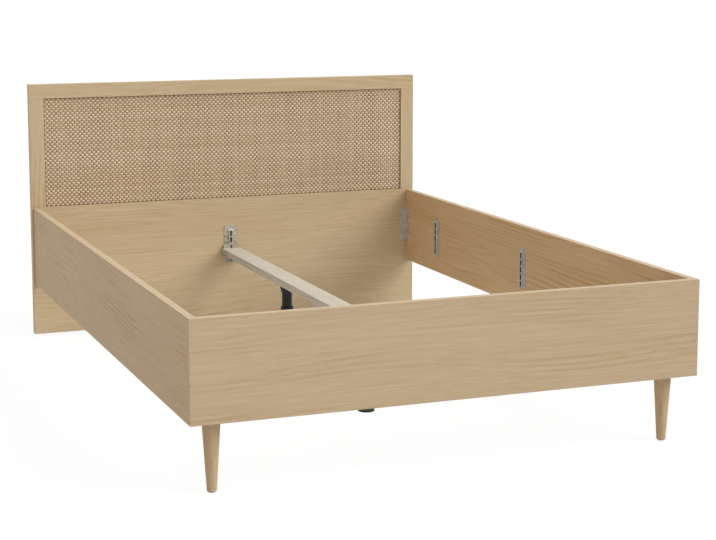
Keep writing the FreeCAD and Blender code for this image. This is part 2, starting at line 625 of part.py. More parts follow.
def leg_tube():
    """Moulded leg with a flared crown under the beam, a keyed bore and a groove for the collar."""
    bore = BEAM_BOTTOM - CROWN_THICKNESS
    tube = turned([
        (0, BEAM_BOTTOM), (CROWN_RADIUS, BEAM_BOTTOM), (CROWN_RADIUS, BEAM_BOTTOM - CROWN_RIM),
        (FLARE_RADIUS, BEAM_BOTTOM - FLARE_HEIGHT), (TUBE_RADIUS, BEAM_BOTTOM - NECK_START),
        (TUBE_RADIUS, TUBE_BOTTOM), (BORE_RADIUS, TUBE_BOTTOM), (BORE_RADIUS, bore), (0, bore),
    ])
    lip = COLLAR_TOP + COLLAR_LIP_RISE
    groove = (lip - COLLAR_FIT, lip + COLLAR_LIP_HEIGHT + COLLAR_FIT)
    tube = tube.cut(rod(BORE_RADIUS + COLLAR_LIP_REACH + COLLAR_FIT, UP * groove[0], UP * groove[1]))
    key_x = (0, BORE_RADIUS + KEY_DEPTH)
    key_y = centred(KEY_WIDTH / 2 + KEY_FIT)
    return tube.cut(box(key_x, key_y, (TUBE_BOTTOM + COLLAR_NECK, bore)))


def leg_collar():
    """Turning collar on the tube's end, with finger grips, a retaining lip and the spindle's bore."""
    base = COLLAR_TOP - COLLAR_HEIGHT
    ring = rod(COLLAR_RADIUS, UP * base, UP * COLLAR_TOP)
    ring = ring.makeFillet(COLLAR_ROUND, circles(ring))
    lip = COLLAR_TOP + COLLAR_LIP_RISE
    ring = ring.fuse([
        rod(BORE_RADIUS - GUIDE_FIT, UP * (COLLAR_TOP - COLLAR_FIT), UP * (COLLAR_TOP + COLLAR_NECK)),
        rod(BORE_RADIUS + COLLAR_LIP_REACH, UP * lip, UP * (lip + COLLAR_LIP_HEIGHT)),
    ])
    grips = []
    for grip in range(GRIP_COUNT):
        angle = 2 * math.pi * grip / GRIP_COUNT
        spot = VECTOR(math.cos(angle), math.sin(angle), 0) * COLLAR_RADIUS
        grips.append(rod(GRIP_RADIUS, spot + UP * (base - OVERRUN), spot + UP * (COLLAR_TOP + OVERRUN)))
    bore = rod(SPINDLE_RADIUS + SPINDLE_FIT, UP * (base - OVERRUN), UP * (COLLAR_TOP + COLLAR_NECK + OVERRUN))
    return ring.cut(grips + [bore])


def leg_spindle():
    """Round spindle from the pad to its keyed guide inside the tube."""
    low, high = UP * PAD_FLOOR, UP * (GUIDE_BOTTOM + GUIDE_HEIGHT)
    stem = rod(SPINDLE_RADIUS, low, UP * GUIDE_BOTTOM)
    stem = stem.makeChamfer(SPINDLE_CHAMFER, edges_at(stem, PAD_FLOOR))
    guide = rod(BORE_RADIUS - GUIDE_FIT, UP * GUIDE_BOTTOM, high)
    key = box((0, BORE_RADIUS + KEY_DEPTH - KEY_FIT), centred(KEY_WIDTH / 2), (GUIDE_BOTTOM, high.z))
    return stem.fuse([guide, key])


def leg_pad():
    """Foot pad on the floor, with a socket for the spindle."""
    socket = SPINDLE_RADIUS + SPINDLE_FIT
    pad = turned([
        (0, 0), (PAD_RADIUS, 0), (PAD_RADIUS, PAD_RIM), (PAD_BOSS_RADIUS, PAD_HEIGHT),
        (socket, PAD_HEIGHT), (socket, PAD_FLOOR), (0, PAD_FLOOR),
    ])
    rims = edges_at(pad, 0) + edges_at(pad, PAD_RIM)
    return pad.makeFillet(PAD_ROUND, rims)


def centre_legs():
    """Two adjustable legs under the beam: tube, turning collar, spindle and pad, each on its stud."""
    for name, share in zip(CENTRE_LEG_PLACES, CENTRE_LEG_SHARES):
        place = VECTOR(0, HEAD_FRONT - share * INSIDE_LENGTH, 0)
        placement = FreeCAD.Placement(place, FreeCAD.Rotation())
        makers = {"tube": leg_tube, "collar": leg_collar, "spindle": leg_spindle, "pad": leg_pad}
        for piece, maker in makers.items():
            add(f"{name}_centre_leg_{piece}", placed(maker(), placement))
        joint = place + UP * BEAM_BOTTOM
        low, high = joint - UP * STUD_DOWN, joint + UP * STUD_UP
        add("centre_leg_studs", rod(STUD_RADIUS, low, high))
        gap = UP * DOWEL_END_GAP
        drill(rod(STUD_RADIUS + SCREW_FIT, low - gap, high + gap), f"{name}_centre_leg_tube", "centre_beam")


def write_nodes():
    """Cuts each node's holes and writes it as one file."""
    os.makedirs("parts", exist_ok=True)
    for node, solids in pieces.items():
        tools = holes.get(node)
        cut = [solid.cut(tools) if tools else solid for solid in solids]
        whole = [solid for shape in cut for solid in shape.Solids]
        assert len(whole) == len(solids), f"{node} fell into {len(whole)} solids"
        assert all(solid.isValid() for solid in whole), f"{node} is not valid"
        shape = whole[0] if len(whole) == 1 else Part.makeCompound(whole)
        shape.exportStep(f"parts/{node}.step")


headboard()
rails()
corner_angles()
front_legs()
slat_strips()
beam_hangers()
centre_beam()
centre_legs()
write_nodes()
print(len(pieces), "nodes,", sum(len(solids) for solids in pieces.values()), "solids")
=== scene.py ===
import logging
import math
from dataclasses import dataclass
from enum import Enum
from typing import Any

import bmesh
import bpy
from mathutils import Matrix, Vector


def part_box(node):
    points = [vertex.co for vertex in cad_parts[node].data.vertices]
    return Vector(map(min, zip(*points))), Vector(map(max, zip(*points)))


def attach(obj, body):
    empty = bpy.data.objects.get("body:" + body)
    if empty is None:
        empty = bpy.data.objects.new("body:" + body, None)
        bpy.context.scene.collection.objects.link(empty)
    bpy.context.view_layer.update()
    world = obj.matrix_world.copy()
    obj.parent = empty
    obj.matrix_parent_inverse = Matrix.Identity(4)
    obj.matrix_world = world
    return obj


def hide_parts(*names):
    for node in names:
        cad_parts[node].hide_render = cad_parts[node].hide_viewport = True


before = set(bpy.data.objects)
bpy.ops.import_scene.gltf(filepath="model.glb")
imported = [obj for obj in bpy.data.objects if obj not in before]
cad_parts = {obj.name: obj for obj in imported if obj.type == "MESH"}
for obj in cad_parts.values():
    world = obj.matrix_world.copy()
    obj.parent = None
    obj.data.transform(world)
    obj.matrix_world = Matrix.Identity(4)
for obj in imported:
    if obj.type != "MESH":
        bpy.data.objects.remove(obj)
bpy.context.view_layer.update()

LOG = logging.getLogger("rattan_bed")
MM = 0.001  # metres in a millimetre
SKIN = 2.5 * MM  # depth of a board's decor and eased edges
PHOTO_WIDTH, PHOTO_HEIGHT = 716, 540  # pixels
SIDES = ("left", "right")
ENDS = ("head", "foot")
MEAN = 0.5  # mean of Blender's noise, and the middle of a range of tones
GLOSS_LOW, GLOSS_HIGH = 0.3, 0.7  # noise values where a face is glossiest and dullest
SPOT_STOPS = (0.35, 0.65)  # noise values where a two-tone finish is darkest and palest
MIX_SHARE, MIX_FIRST, MIX_SECOND, MIX_RESULT = 0, 6, 7, 2  # sockets of the mix node, for colours

Socket = bpy.types.NodeSocket
Tree = bpy.types.NodeTree
Tones = tuple[str, str, str]  # dark, middle and pale colour
Pair = tuple[float, float]


class Grain(Enum):
    """Axis of the bed that a board's grain runs along."""

    ACROSS = 0
    LENGTHWISE = 1
    UPRIGHT = 2

    @property
    def ring_axis(self) -> int:
        """Axis of the bed that the growth rings follow one another along, on a board's face."""
        return 0 if self is Grain.UPRIGHT else 2


class Strand(Enum):
    """Direction of a strand in the woven panel: the warp is upright and the weft level."""

    WARP = "warp"
    WEFT = "weft"


def linear(hex_colour: str) -> tuple[float, float, float, float]:
    """Turns an sRGB hex colour to linear light.

    Args:
        hex_colour: Six hex digits after a hash.

    Returns:
        Red, green, blue and an alpha of 1.
    """
    channels = [int(hex_colour[at:at + 2], 16) / 255 for at in (1, 3, 5)]
    lit = [c / 12.92 if c <= 0.04045 else ((c + 0.055) / 1.055) ** 2.4 for c in channels]
    return (*lit, 1.0)


def add_node(tree: Tree, kind: str, inputs: dict[str | int, Any] | None = None,
             **settings: Any) -> bpy.types.Node:
    """Adds a shader node with its settings and links.

    Args:
        tree: Node tree that gets the node.
        kind: Blender's name of the node type.
        inputs: Values or sockets for the node's inputs, by name or index.
        settings: Properties of the node.

    Returns:
        The new node.
    """
    node = tree.nodes.new(kind)
    for name, value in settings.items():
        setattr(node, name, value)
    for key, value in (inputs or {}).items():
        if isinstance(value, Socket):
            tree.links.new(value, node.inputs[key])
        else:
            node.inputs[key].default_value = value
    return node


def new_material(name: str) -> bpy.types.Material:
    """Makes a material with an empty node tree.

    Args:
        name: Name of the real material.

    Returns:
        The material.
    """
    material = bpy.data.materials.new(name)
    material.use_nodes = True
    material.node_tree.nodes.clear()
    return material


def set_stops(ramp: bpy.types.Node, stops: list[tuple[float, str]]) -> None:
    """Sets the stops of a colour ramp.

    Args:
        ramp: Colour ramp node.
        stops: Place and sRGB hex colour of each stop, in order.
    """
    elements = ramp.color_ramp.elements
    while len(elements) < len(stops):
        elements.new(1.0)
    for element, (place, colour) in zip(elements, stops):
        element.position = place
        element.color = linear(colour)


def layered(tree: Tree, tone: float | Socket, layers: list[tuple[Socket, float]]) -> Socket:
    """Lays patterns over an even tone, one after another.

    Args:
        tree: Node tree of the material.
        tone: The even tone, from 0 for dark to 1 for pale.
        layers: Each pattern's socket and depth; a depth below zero darkens.

    Returns:
        Socket with the tone.
    """
    for layer, depth in layers:
        terms = {0: layer, 1: depth, 2: tone}
        tone = add_node(tree, "ShaderNodeMath", terms, operation="MULTIPLY_ADD").outputs[0]
    return tone


def dress(node: str, material: bpy.types.Material) -> None:
    """Puts a material on a node of the frame.

    Args:
        node: Name of the CAD node.
        material: Its finish.
    """
    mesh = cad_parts[node].data
    mesh.materials.clear()
    mesh.materials.append(material)
    LOG.info("dressed %s in %s", node, material.name)


def line_and_shade_hollows(node: str, core_and_shade: bpy.types.Material) -> None:
    """Shows a board's core wherever a hole or groove is cut into it, painted dark with the shade inside the
    hollow.

    Args:
        node: Name of the board's CAD node, dressed before.
        core_and_shade: Finish of the raw core, darkened with painted shade.
    """
    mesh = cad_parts[node].data
    mesh.materials.append(core_and_shade)
    corners = [vertex.co for vertex in mesh.vertices]
    low = [min(corner[axis] for corner in corners) + SKIN for axis in range(3)]
    high = [max(corner[axis] for corner in corners) - SKIN for axis in range(3)]
    cut = 0
    for face in mesh.polygons:
        if all(low[axis] < face.center[axis] < high[axis] for axis in range(3)):
            face.material_index = len(mesh.materials) - 1
            cut += 1
    LOG.info("lined %d faces of %s with %s", cut, node, core_and_shade.name)


def new_piece(name: str, mesh: bpy.types.Mesh, body: str, node: str) -> None:
    """Adds a piece to the scene in place of a node of the frame.

    Args:
        name: Name of the piece.
        mesh: Its mesh, in the bed's frame.
        body: CAD body that it moves with.
        node: CAD node that it stands for.
    """
    piece = bpy.data.objects.new(name, mesh)
    bpy.context.scene.collection.objects.link(piece)
    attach(piece, body)
    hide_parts(node)
    LOG.info("built %s with %d faces for %s", name, len(mesh.polygons), node)


@dataclass(frozen=True)
class Timber:
    """Wood or wood decor with growth rings, streaks and pores that follow the grain.

    Two sizes in a pair are along and across the grain.
    """

    name: str
    grain: Grain
    tones: Tones
    tone_stops: tuple[float, float, float] = (0.22, 0.5, 0.78)
    noise_roughness: float = 0.55
    ring_mm: float = 17.0
    ring_slant: float = 0.6  # rings on a length of the third axis, for each one on the ring axis
    ring_swing: float = 3.2  # rings that the figure wanders across
    ring_depth: float = 0.17
    late_wood: float = 0.25  # where a ring begins to darken, of its width
    late_line: float = 0.92  # where it is darkest
    figure_mm: Pair = (1500.0, 190.0)
    fade_mm: Pair = (700.0, 90.0)
    fade_noise: Pair = (0.46, 0.72)  # values where the rings start to show and show in full
    streak_mm: float = 3.4  # as coarse as the grain has to be to show in the render
    streak_long_mm: float = 760.0
    streak_depth: float = 0.50
    fibre_mm: Pair = (110.0, 2.4)
    fibre_depth: float = 0.20
    cloud_mm: Pair = (1500.0, 130.0)
    cloud_depth: float = 0.20
    wander_mm: float = 70.0  # how far the grain sways across itself
    sway_mm: Pair = (900.0, 260.0)
    pore_mm: Pair = (26.0, 0.9)  # wider than real pores, to show close up
    pore_noise: Pair = (0.60, 0.72)  # values where a pore starts and is deepest
    pore_depth: float = 0.08
    roughness: float = 0.56
    gloss_swing: float = 0.05
    sheen: float = 0.2  # specular level of the matt lacquer
    relief_mm: float = 0.05
    relief_strength: float = 0.5
    band_and_top_light: str | None = None  # tone of the board's top faces: its edge band, paler as painted light from above
    band_and_light_lean: Pair = (0.7, 0.95)  # how far a face looks up where the band and its painted top light start and are whole
    band_and_light_cover: float = 0.75  # share of the band and its painted top light in the top edge's colour
    bounce_lit_inside_tones: Tones | None = None  # warmer tones of the face towards the bed's middle: painted warm bounce light
    inside_limit: float = -0.5  # place times normal across the bed, in metres, is below this on that face

    def pattern(self, tree: Tree, place: Socket, size_mm: Pair, octaves: float) -> Socket:
        """Noise drawn out along the grain.

        Args:
            tree: Node tree of the material.
            place: Socket with the place on the bed.
            size_mm: Size of the noise along and across the grain.
            octaves: Finer layers in the noise.

        Returns:
            Socket with the noise's value.
        """
        along_mm, across_mm = size_mm
        scale = [1 / (across_mm * MM)] * 3
        scale[self.grain.value] = 1 / (along_mm * MM)
        scaled = add_node(tree, "ShaderNodeVectorMath", {0: place, 1: scale}, operation="MULTIPLY")
        noise = add_node(tree, "ShaderNodeTexNoise", {
            "Vector": scaled.outputs[0], "Scale": 1.0, "Detail": octaves, "Roughness": self.noise_roughness,
        })
        return noise.outputs["Fac"]

    def toned(self, tree: Tree, tone: Socket, tones: Tones) -> Socket:
        """Colours the figure.

        Args:
            tree: Node tree of the material.
            tone: Socket with the figure, from dark to pale.
            tones: Dark, middle and pale colour.

        Returns:
            Socket with the colour.
        """
        ramp = add_node(tree, "ShaderNodeValToRGB", {"Fac": tone})
        set_stops(ramp, list(zip(self.tone_stops, tones)))
        return ramp.outputs["Color"]

    def painted_bounce_light(self, tree: Tree, face: Socket, inside: Socket) -> Socket:
        """Paints warm bounce light on the face that looks to the bed's middle, as a warmer tone.

        Args:
            tree: Node tree of the material.
            face: Socket with the colour of the other faces.
            inside: Socket with the colour of the inside face.

        Returns:
            Socket with the colour of all the faces.
        """
        place = add_node(tree, "ShaderNodeTexCoord").outputs["Object"]
        normal = add_node(tree, "ShaderNodeNewGeometry").outputs["True Normal"]
        side = add_node(tree, "ShaderNodeSeparateXYZ", {0: place}).outputs["X"]
        facing = add_node(tree, "ShaderNodeSeparateXYZ", {0: normal}).outputs["X"]
        outward = add_node(tree, "ShaderNodeMath", {0: side, 1: facing}, operation="MULTIPLY")
        limits = {0: outward.outputs[0], 1: self.inside_limit}
        inward = add_node(tree, "ShaderNodeMath", limits, operation="LESS_THAN")
        inputs = {MIX_SHARE: inward.outputs[0], MIX_FIRST: face, MIX_SECOND: inside}
        return add_node(tree, "ShaderNodeMix", inputs, data_type="RGBA").outputs[MIX_RESULT]

    def banded_and_top_lit(self, tree: Tree, face: Socket) -> Socket:
        """Gives the board's top edge its edge band's tone, made paler as painted light from above.

        Args:
            tree: Node tree of the material.
            face: Socket with the colour of the board's faces.

        Returns:
            Socket with the colour of faces and band.
        """
        normal = add_node(tree, "ShaderNodeNewGeometry").outputs["True Normal"]
        upward = add_node(tree, "ShaderNodeSeparateXYZ", {0: normal}).outputs["Z"]
        start, whole = self.band_and_light_lean
        share = add_node(tree, "ShaderNodeMapRange", {
            "Value": upward, "From Min": start, "From Max": whole, "To Max": self.band_and_light_cover,
        })
        inputs = {MIX_SHARE: share.outputs[0], MIX_FIRST: face, MIX_SECOND: linear(self.band_and_top_light)}
        return add_node(tree, "ShaderNodeMix", inputs, data_type="RGBA").outputs[MIX_RESULT]

    def wandering(self, tree: Tree, place: Socket) -> Socket:
        """Place that sways across the grain, so that no streak runs dead straight.

        Args:
            tree: Node tree of the material.
            place: Socket with the place on the bed.

        Returns:
            Socket with the swayed place.
        """
        sway = self.pattern(tree, place, self.sway_mm, octaves=0.0)
        away = [self.wander_mm * MM] * 3
        away[self.grain.value] = 0.0
        offset = add_node(tree, "ShaderNodeVectorMath", {0: away, "Scale": sway}, operation="SCALE")
        swayed = add_node(tree, "ShaderNodeVectorMath", {0: place, 1: offset.outputs[0]}, operation="ADD")
        return swayed.outputs[0]

    def rings(self, tree: Tree, place: Socket) -> Socket:
        """Growth rings that rise slowly and end in a sharp late-wood line.

        Args:
            tree: Node tree of the material.
            place: Socket with the place on the bed.

        Returns:
            Socket with the ring's value, from 0 to 1.
        """
        weights = [self.ring_slant / (self.ring_mm * MM)] * 3
        weights[self.grain.value] = 0.0
        weights[self.grain.ring_axis] = 1 / (self.ring_mm * MM)
        depth = add_node(tree, "ShaderNodeVectorMath", {0: place, 1: weights}, operation="DOT_PRODUCT")
        figure = self.pattern(tree, place, self.figure_mm, octaves=1.0)
        swung = {0: figure, 1: 2 * self.ring_swing, 2: depth.outputs["Value"]}
        count = add_node(tree, "ShaderNodeMath", swung, operation="MULTIPLY_ADD").outputs[0]
        part = add_node(tree, "ShaderNodeMath", {0: count}, operation="FRACT").outputs[0]
        clearness = self.pattern(tree, place, self.fade_mm, octaves=1.0)
        start, full = self.fade_noise
        rise = {"Value": part, "From Min": self.late_wood, "From Max": self.late_line}
        fall = {"Value": part, "From Min": 1.0, "From Max": self.late_line}
        fade = {"Value": clearness, "From Min": start, "From Max": full}
        late, early, clear = (
            add_node(tree, "ShaderNodeMapRange", inputs).outputs[0] for inputs in (rise, fall, fade)
        )
        ring = add_node(tree, "ShaderNodeMath", {0: late, 1: early}, operation="MULTIPLY")
        shown = add_node(tree, "ShaderNodeMath", {0: ring.outputs[0], 1: clear}, operation="MULTIPLY")
        return shown.outputs[0]

    def build(self) -> bpy.types.Material:
        """Builds the finish.

        Returns:
            The material.
        """
        material = new_material(self.name)
        tree = material.node_tree
        place = self.wandering(tree, add_node(tree, "ShaderNodeTexCoord").outputs["Object"])
        streak = self.pattern(tree, place, (self.streak_long_mm, self.streak_mm), octaves=3.0)
        fibre = self.pattern(tree, place, self.fibre_mm, octaves=2.0)
        cloud = self.pattern(tree, place, self.cloud_mm, octaves=2.0)
        pore = self.pattern(tree, place, self.pore_mm, octaves=1.0)
        start, deepest = self.pore_noise
        pores = add_node(tree, "ShaderNodeMapRange", {"Value": pore, "From Min": start, "From Max": deepest})
        rings = self.rings(tree, place)

        even = MEAN - MEAN * (self.streak_depth + self.fibre_depth + self.cloud_depth)
        tone = layered(tree, even, [
            (streak, self.streak_depth), (fibre, self.fibre_depth), (cloud, self.cloud_depth),
            (rings, -self.ring_depth), (pores.outputs[0], -self.pore_depth),
        ])
        face = self.toned(tree, tone, self.tones)
        # The face towards the bed's middle gets warmer tones: painted warm bounce light.
        if self.bounce_lit_inside_tones:
            face = self.painted_bounce_light(tree, face, self.toned(tree, tone, self.bounce_lit_inside_tones))
        # Upward faces turn paler: the edge band's tone with painted light from above.
        if self.band_and_top_light:
            face = self.banded_and_top_lit(tree, face)
        gloss = add_node(tree, "ShaderNodeMapRange", {
            "Value": streak, "From Min": GLOSS_LOW, "From Max": GLOSS_HIGH,
            "To Min": self.roughness - self.gloss_swing, "To Max": self.roughness + self.gloss_swing,
        })
        bump = add_node(tree, "ShaderNodeBump", {
            "Height": tone, "Strength": self.relief_strength, "Distance": self.relief_mm * MM,
        })
        shader = add_node(tree, "ShaderNodeBsdfPrincipled", {
            "Base Color": face, "Roughness": gloss.outputs[0], "Specular IOR Level": self.sheen,
            "Normal": bump.outputs["Normal"],
        })
        add_node(tree, "ShaderNodeOutputMaterial", {"Surface": shader.outputs["BSDF"]})
        return material


@dataclass(frozen=True)
class RattanPeel:
    """Split cane: a satin peel whose tone changes from strand to strand and along each one.

    Three sizes in a row are across the strand, into the weave and along the strand.
    """

    name: str
    strand: Strand
    pitch_mm: float
    tones: Tones
    bundle_depth: float  # how far a bundle's tone strays, of the whole range
    tone_stops: tuple[float, float, float] = (0.15, 0.5, 0.85)
    bundle_mm: tuple[float, float, float] = (46.0, 1000.0, 350.0)  # strands side by side that share a tone
    strand_depth: float = 0.25
    fibre_mm: tuple[float, float, float] = (0.7, 0.7, 60.0)  # coarser than real fibres, to show close up
    fibre_depth: float = 0.45
    octaves: float = 2.0
    roughness: float = 0.5
    relief_mm: float = 0.15
    relief_strength: float = 0.6

    def pattern(self, tree: Tree, place: Socket, size_mm: tuple[float, float, float]) -> Socket:
        """Noise drawn out along the strand.

        Args:
            tree: Node tree of the material.
            place: Socket with the place on the bed.
            size_mm: Size of the noise across the strand, into the weave and along the strand.

        Returns:
            Socket with the noise's value.
        """
        scale = [1 / (size * MM) for size in size_mm]
        if self.strand is Strand.WEFT:
            scale.reverse()
        scaled = add_node(tree, "ShaderNodeVectorMath", {0: place, 1: scale}, operation="MULTIPLY")
        inputs = {"Vector": scaled.outputs[0], "Scale": 1.0, "Detail": self.octaves}
        return add_node(tree, "ShaderNodeTexNoise", inputs).outputs["Fac"]

    def build(self) -> bpy.types.Material:
        """Builds the finish.

        Returns:
            The material.
        """
        material = new_material(self.name)
        tree = material.node_tree
        place = add_node(tree, "ShaderNodeTexCoord").outputs["Object"]
        split = add_node(tree, "ShaderNodeSeparateXYZ", {0: place})
        across = split.outputs["X" if self.strand is Strand.WARP else "Z"]
        step = add_node(tree, "ShaderNodeMath", {0: across, 1: self.pitch_mm * MM}, operation="DIVIDE")
        index = add_node(tree, "ShaderNodeMath", {0: step.outputs[0]}, operation="FLOOR")
        strand = add_node(tree, "ShaderNodeTexWhiteNoise", {"W": index.outputs[0]}, noise_dimensions="1D")
        bundle = self.pattern(tree, place, self.bundle_mm)
        fibre = self.pattern(tree, place, self.fibre_mm)

        even = MEAN - MEAN * (self.strand_depth + self.bundle_depth + self.fibre_depth)
        tone = layered(tree, even, [
            (strand.outputs["Value"], self.strand_depth),
            (bundle, self.bundle_depth),
            (fibre, self.fibre_depth),
        ])
        colour = add_node(tree, "ShaderNodeValToRGB", {"Fac": tone})
        set_stops(colour, list(zip(self.tone_stops, self.tones)))
        bump = add_node(tree, "ShaderNodeBump", {
            "Height": fibre, "Strength": self.relief_strength, "Distance": self.relief_mm * MM,
        })
        shader = add_node(tree, "ShaderNodeBsdfPrincipled", {
            "Base Color": colour.outputs["Color"], "Roughness": self.roughness,
            "Normal": bump.outputs["Normal"],
        })
        add_node(tree, "ShaderNodeOutputMaterial", {"Surface": shader.outputs["BSDF"]})
        return material


@dataclass(frozen=True)
class PressedFibre:
    """Board of pressed wood fibres or chips, with a mottled, dull face."""

    name: str
    dark: str
    pale: str
    mottle_mm: float  # the largest clouds
    octaves: float = 7.0
    noise_roughness: float = 0.75
    roughness: float = 0.6
    relief_mm: float = 0.1
    relief_strength: float = 0.4

    def build(self) -> bpy.types.Material:
        """Builds the finish.

        Returns:
            The material.
        """
        material = new_material(self.name)
        tree = material.node_tree
        place = add_node(tree, "ShaderNodeTexCoord").outputs["Object"]
        mottle = add_node(tree, "ShaderNodeTexNoise", {
            "Vector": place, "Scale": 1 / (self.mottle_mm * MM), "Detail": self.octaves,
            "Roughness": self.noise_roughness,
        })
        colour = add_node(tree, "ShaderNodeValToRGB", {"Fac": mottle.outputs["Fac"]})
        set_stops(colour, list(zip(SPOT_STOPS, (self.dark, self.pale))))
        bump = add_node(tree, "ShaderNodeBump", {
            "Height": mottle.outputs["Fac"], "Strength": self.relief_strength,
            "Distance": self.relief_mm * MM,
        })
        shader = add_node(tree, "ShaderNodeBsdfPrincipled", {
            "Base Color": colour.outputs["Color"], "Roughness": self.roughness,
            "Normal": bump.outputs["Normal"],
        })
        add_node(tree, "ShaderNodeOutputMaterial", {"Surface": shader.outputs["BSDF"]})
        return material


@dataclass(frozen=True)
class ZincPlate:
    """Pressed steel with zinc plating: pale grey metal with a faint cloudy spangle."""

    name: str
    dark: str
    pale: str
    spangle_mm: float = 7.0
    spangle_share: float = 0.5  # of the spangle in the pattern, against the clouds' 1
    cloud_mm: float = 21.0
    cloud_octaves: float = 4.0
    tone_stops: Pair = (0.45, 0.95)  # pattern values where the plating is palest and darkest
    metal: float = 0.7  # the dull film on the zinc scatters the rest
    roughness: float = 0.52
    gloss_stops: Pair = (0.4, 1.0)  # pattern values where it is smoothest and roughest
    smoother: float = 0.06
    rougher: float = 0.1

    def build(self) -> bpy.types.Material:
        """Builds the finish.

        Returns:
            The material.
        """
        material = new_material(self.name)
        tree = material.node_tree
        place = add_node(tree, "ShaderNodeTexCoord").outputs["Object"]
        cells = {"Vector": place, "Scale": 1 / (self.spangle_mm * MM)}
        spangle = add_node(tree, "ShaderNodeTexVoronoi", cells, feature="SMOOTH_F1")
        cloud = add_node(tree, "ShaderNodeTexNoise", {
            "Vector": place, "Scale": 1 / (self.cloud_mm * MM), "Detail": self.cloud_octaves,
        })
        mixed = {0: spangle.outputs["Distance"], 1: self.spangle_share, 2: cloud.outputs["Fac"]}
        pattern = add_node(tree, "ShaderNodeMath", mixed, operation="MULTIPLY_ADD").outputs[0]
        colour = add_node(tree, "ShaderNodeValToRGB", {"Fac": pattern})
        set_stops(colour, list(zip(self.tone_stops, (self.pale, self.dark))))
        smoothest, roughest = self.gloss_stops
        gloss = add_node(tree, "ShaderNodeMapRange", {
            "Value": pattern, "From Min": smoothest, "From Max": roughest,
            "To Min": self.roughness - self.smoother, "To Max": self.roughness + self.rougher,
        })
        shader = add_node(tree, "ShaderNodeBsdfPrincipled", {
            "Base Color": colour.outputs["Color"], "Metallic": self.metal, "Roughness": gloss.outputs[0],
        })
        add_node(tree, "ShaderNodeOutputMaterial", {"Surface": shader.outputs["BSDF"]})
        return material


@dataclass(frozen=True)
class Moulded:
    """Moulded plastic or rubber with a fine spark-eroded grain."""

    name: str
    dark: str
    pale: str
    grain_mm: float = 0.8  # coarser than a real mould's grain, to show close up
    grain_octaves: float = 3.0
    cloud_mm: float = 25.0
    cloud_octaves: float = 2.0
    relief_mm: float = 0.06
    relief_strength: float = 0.5
    roughness: float = 0.45
    smoother: float = 0.06
    rougher: float = 0.08
    sheen: float = 0.5  # specular level

    def build(self) -> bpy.types.Material:
        """Builds the finish.

        Returns:
            The material.
        """
        material = new_material(self.name)
        tree = material.node_tree
        place = add_node(tree, "ShaderNodeTexCoord").outputs["Object"]
        grain = add_node(tree, "ShaderNodeTexNoise", {
            "Vector": place, "Scale": 1 / (self.grain_mm * MM), "Detail": self.grain_octaves,
        })
        cloud = add_node(tree, "ShaderNodeTexNoise", {
            "Vector": place, "Scale": 1 / (self.cloud_mm * MM), "Detail": self.cloud_octaves,
        })
        colour = add_node(tree, "ShaderNodeValToRGB", {"Fac": cloud.outputs["Fac"]})
        set_stops(colour, list(zip(SPOT_STOPS, (self.dark, self.pale))))
        gloss = add_node(tree, "ShaderNodeMapRange", {
            "Value": grain.outputs["Fac"], "From Min": GLOSS_LOW, "From Max": GLOSS_HIGH,
            "To Min": self.roughness - self.smoother, "To Max": self.roughness + self.rougher,
        })
        bump = add_node(tree, "ShaderNodeBump", {
            "Height": grain.outputs["Fac"], "Strength": self.relief_strength,
            "Distance": self.relief_mm * MM,
        })
        shader = add_node(tree, "ShaderNodeBsdfPrincipled", {
            "Base Color": colour.outputs["Color"], "Roughness": gloss.outputs[0],
            "Specular IOR Level": self.sheen, "Normal": bump.outputs["Normal"],
        })
        add_node(tree, "ShaderNodeOutputMaterial", {"Surface": shader.outputs["BSDF"]})
        return material


